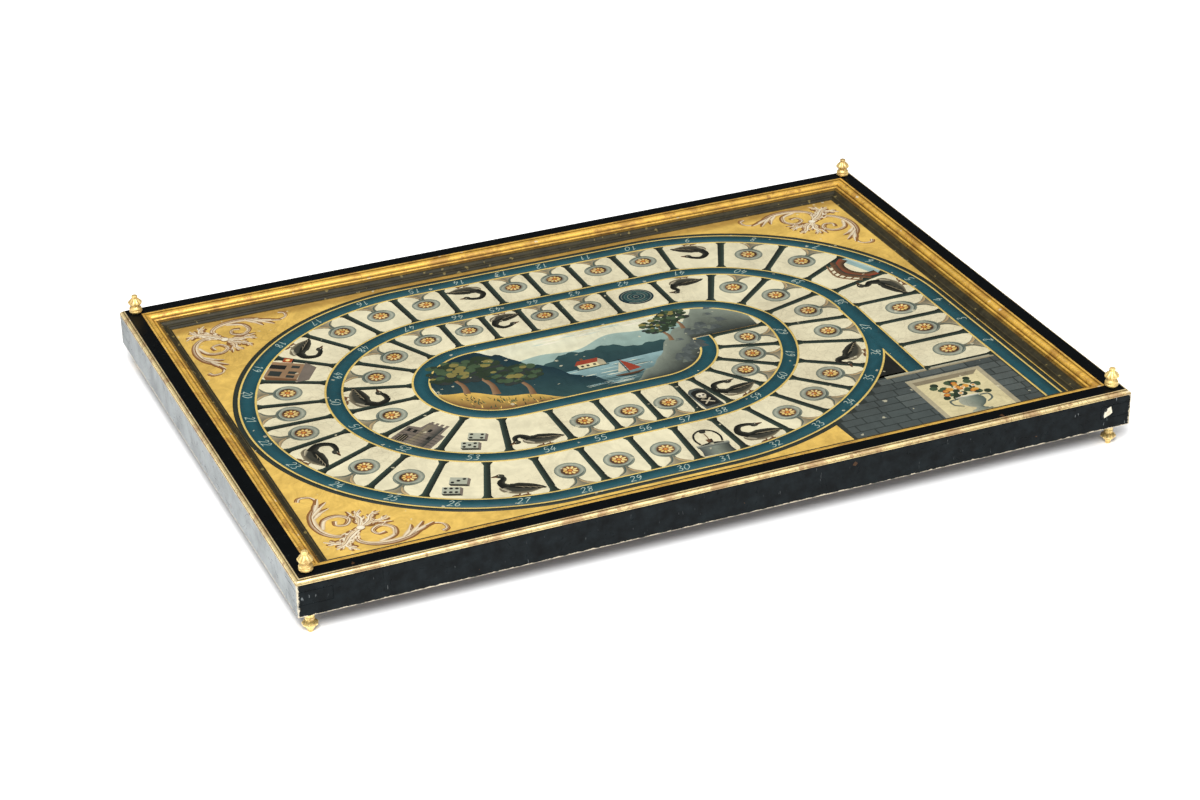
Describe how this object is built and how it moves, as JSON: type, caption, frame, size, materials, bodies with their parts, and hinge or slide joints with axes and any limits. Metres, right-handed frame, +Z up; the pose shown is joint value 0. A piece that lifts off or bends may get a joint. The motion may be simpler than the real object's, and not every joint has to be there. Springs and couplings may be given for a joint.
{
  "type": "framed game board",
  "caption": "Framed table game board: a painted panel with a spiral track of fields, sunk in a lacquered frame with gilt mouldings, corner finials and small turned feet.",
  "frame": {"origin": "on the table surface under the middle of the board", "axes": "+X along the length to the right, +Y to the back, +Z up"},
  "size_m": [0.7806, 0.5506, 0.0761],
  "materials": {
    "black_lacquer": "worn black lacquer on wood",
    "gilding": "worn gilding over red-brown bole",
    "pale_gilding": "pale gilding on carved turnings",
    "dark_green_paint": "dark green paint, worn",
    "painted_ground": "ochre oil paint on gesso, varnished",
    "bare_wood": "bare aged softwood",
    "iron": "dull forged iron"
  },
  "bodies": {
    "root": {"front_rail": "black_lacquer", "back_rail": "black_lacquer", "left_rail": "black_lacquer", "right_rail": "black_lacquer", "front_outer_moulding": "gilding", "back_outer_moulding": "gilding", "left_outer_moulding": "gilding", "right_outer_moulding": "gilding", "front_inner_moulding": "gilding", "back_inner_moulding": "gilding", "left_inner_moulding": "gilding", "right_inner_moulding": "gilding", "front_sight_cove": "dark_green_paint", "back_sight_cove": "dark_green_paint", "left_sight_cove": "dark_green_paint", "right_sight_cove": "dark_green_paint", "painted_ground": "painted_ground", "front_board": "bare_wood", "middle_board": "bare_wood", "back_board": "bare_wood", "left_batten": "bare_wood", "left_batten_nail_1": "iron", "left_batten_nail_2": "iron", "left_batten_nail_3": "iron", "right_batten": "bare_wood", "right_batten_nail_1": "iron", "right_batten_nail_2": "iron", "right_batten_nail_3": "iron", "front_fillet": "bare_wood", "front_fillet_nail_1": "iron", "front_fillet_nail_2": "iron", "front_fillet_nail_3": "iron", "back_fillet": "bare_wood", "back_fillet_nail_1": "iron", "back_fillet_nail_2": "iron", "back_fillet_nail_3": "iron", "left_fillet": "bare_wood", "left_fillet_nail_1": "iron", "left_fillet_nail_2": "iron", "right_fillet": "bare_wood", "right_fillet_nail_1": "iron", "right_fillet_nail_2": "iron", "front_left_finial": "pale_gilding", "front_right_finial": "pale_gilding", "back_left_finial": "pale_gilding", "back_right_finial": "pale_gilding", "front_left_foot": "pale_gilding", "front_right_foot": "pale_gilding", "back_left_foot": "pale_gilding", "back_right_foot": "pale_gilding"}
  },
  "joints": []
}
